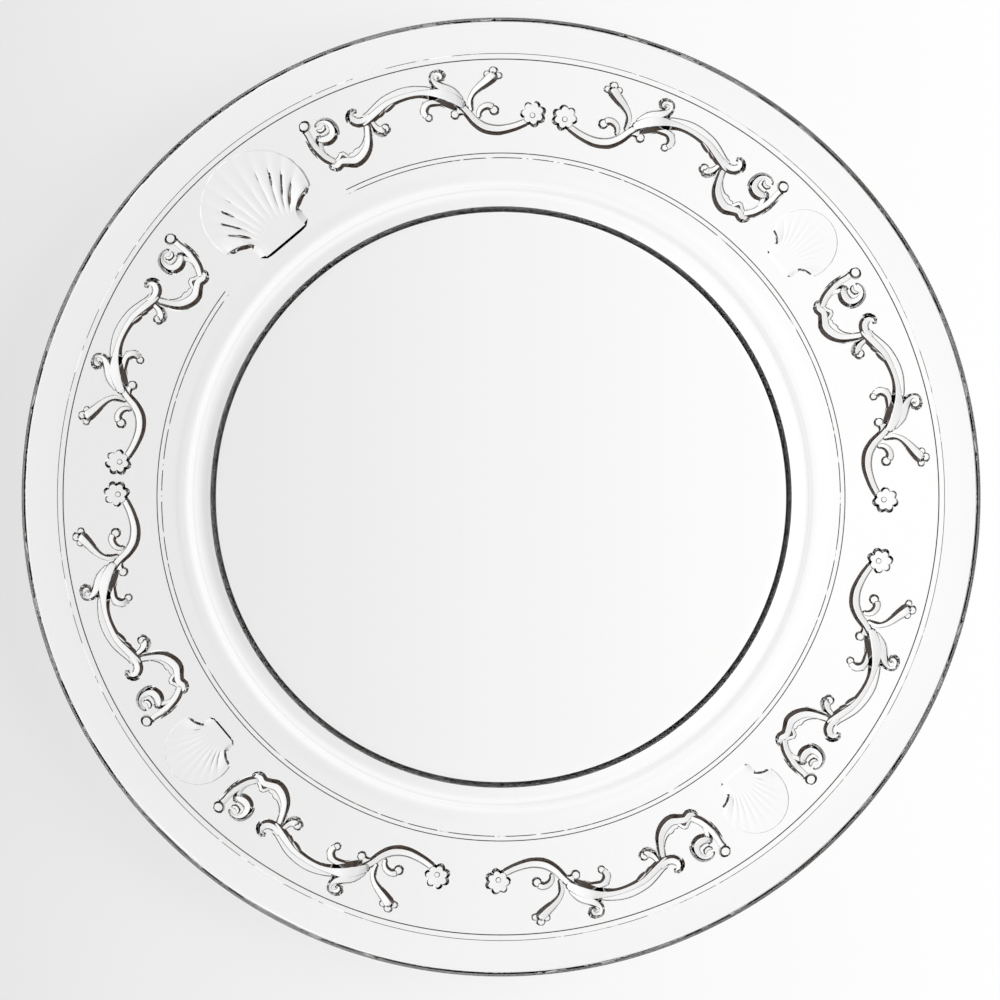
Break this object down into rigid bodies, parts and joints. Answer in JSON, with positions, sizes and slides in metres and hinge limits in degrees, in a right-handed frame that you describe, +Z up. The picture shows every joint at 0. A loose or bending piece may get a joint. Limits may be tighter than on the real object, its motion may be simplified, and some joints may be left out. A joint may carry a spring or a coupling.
{
  "type": "glass plate",
  "caption": "Round clear pressed-glass dinner plate with a wide sloping rim, scrolled sprigs and scallop shells moulded under the rim, and a plain flat base.",
  "frame": {"origin": "centre of the flat base, on the surface that the plate stands on", "axes": "+Z up through the face of the plate, +Y towards the large shell"},
  "size_m": [0.27, 0.27, 0.02],
  "materials": {
    "clear_glass": "clear colourless soda-lime glass, pressed and fire polished"
  },
  "bodies": {
    "root": {"plate_body": "clear_glass", "outer_bead": "clear_glass", "inner_bead": "clear_glass", "large_shell_top": "clear_glass", "small_shell_left": "clear_glass", "small_shell_bottom": "clear_glass", "small_shell_right": "clear_glass", "sprig_top_left": "clear_glass", "sprig_top_right": "clear_glass", "sprig_left_lower": "clear_glass", "sprig_left_upper": "clear_glass", "sprig_bottom_right": "clear_glass", "sprig_bottom_left": "clear_glass", "sprig_right_upper": "clear_glass", "sprig_right_lower": "clear_glass"}
  },
  "joints": []
}
